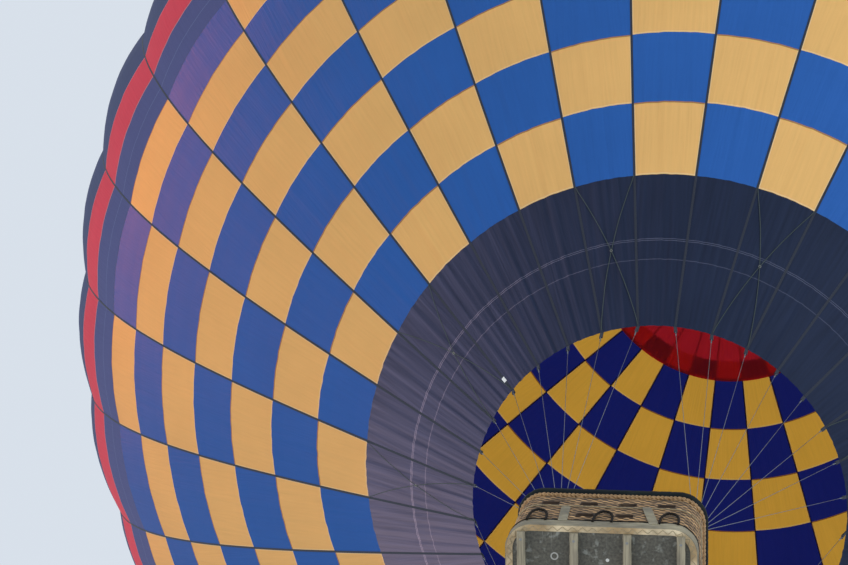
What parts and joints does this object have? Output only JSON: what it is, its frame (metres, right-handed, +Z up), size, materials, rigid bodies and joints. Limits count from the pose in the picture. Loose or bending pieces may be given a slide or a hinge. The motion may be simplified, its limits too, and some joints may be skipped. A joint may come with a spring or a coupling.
{
  "type": "hot air balloon",
  "caption": "Hot air balloon with a checked envelope, parachute valve, gimballed burners, load frame and a divided wicker basket.",
  "frame": {"origin": "middle of the basket's underside, on the envelope's axis, where the runners would meet the ground", "axes": "+Z up the envelope's axis, +Y along the basket, +X across it; the end with the seen steps faces -Y"},
  "size_m": [23.3024, 23.3024, 27.32],
  "materials": {
    "navy_cloth": "satin coated nylon",
    "checked_cloth": "satin coated nylon, checked in blue",
    "blue_cloth": "satin coated nylon",
    "red_cloth": "satin coated nylon",
    "wicker": "woven cane",
    "wood": "worn, bare",
    "floor_board": "painted, worn",
    "leather": "worn hide",
    "dark_leather": "padded hide",
    "steel": "brushed",
    "aluminium": "satin"
  },
  "bodies": {
    "root": {"envelope_lower_cone": "navy_cloth", "envelope_lower_checks": "checked_cloth", "envelope_upper_checks": "checked_cloth", "envelope_blue_band": "blue_cloth", "envelope_red_band": "red_cloth", "envelope_shoulder": "navy_cloth", "envelope_crown_checks": "checked_cloth", "envelope_crown": "checked_cloth", "crown_ring": "aluminium", "mouth_hem": "navy_cloth", "load_frame": "steel", "basket_floor": "floor_board", "basket_wall": "wicker", "basket_rim": "dark_leather", "scuff_band": "leather", "karabiner_right_rear": "steel", "flying_wires_right_rear": "steel", "pole_right_rear": "leather", "fuel_cylinder_right_rear": "aluminium", "karabiner_left_rear": "steel", "flying_wires_left_rear": "steel", "pole_left_rear": "leather", "fuel_cylinder_left_rear": "aluminium", "karabiner_left_front": "steel", "flying_wires_left_front": "steel", "pole_left_front": "leather", "fuel_cylinder_left_front": "aluminium", "karabiner_right_front": "steel", "flying_wires_right_front": "steel", "pole_right_front": "leather", "fuel_cylinder_right_front": "aluminium", "runner_1": "wood", "runner_2": "wood", "runner_3": "wood", "runner_4": "wood", "cross_partition_front": "wicker", "long_partition_front": "wicker", "cross_partition_rear": "wicker", "long_partition_rear": "wicker"},
    "parachute": {"parachute_valve": "red_cloth"},
    "gimbal": {"gimbal_frame": "steel"},
    "burners": {"burner_frame": "steel", "burner_can_right_rear": "steel", "burner_can_left_rear": "steel", "burner_can_left_front": "steel", "burner_can_right_front": "steel", "burner_coil_right_rear": "steel", "burner_coil_left_rear": "steel", "burner_coil_left_front": "steel", "burner_coil_right_front": "steel"}
  },
  "joints": [
    {"name": "parachute_valve_slide", "type": "slide", "parent": "root", "child": "parachute", "axis": [0, 0, -1], "range_m": [0, 1.5]},
    {"name": "gimbal_pitch", "type": "hinge", "parent": "root", "child": "gimbal", "pos_m": [0, 0, 2.35], "axis": [1, 0, 0], "range_deg": [-12, 12]},
    {"name": "gimbal_roll", "type": "hinge", "parent": "gimbal", "child": "burners", "pos_m": [0, 0, 2.35], "axis": [0, 1, 0], "range_deg": [-12, 12]}
  ]
}
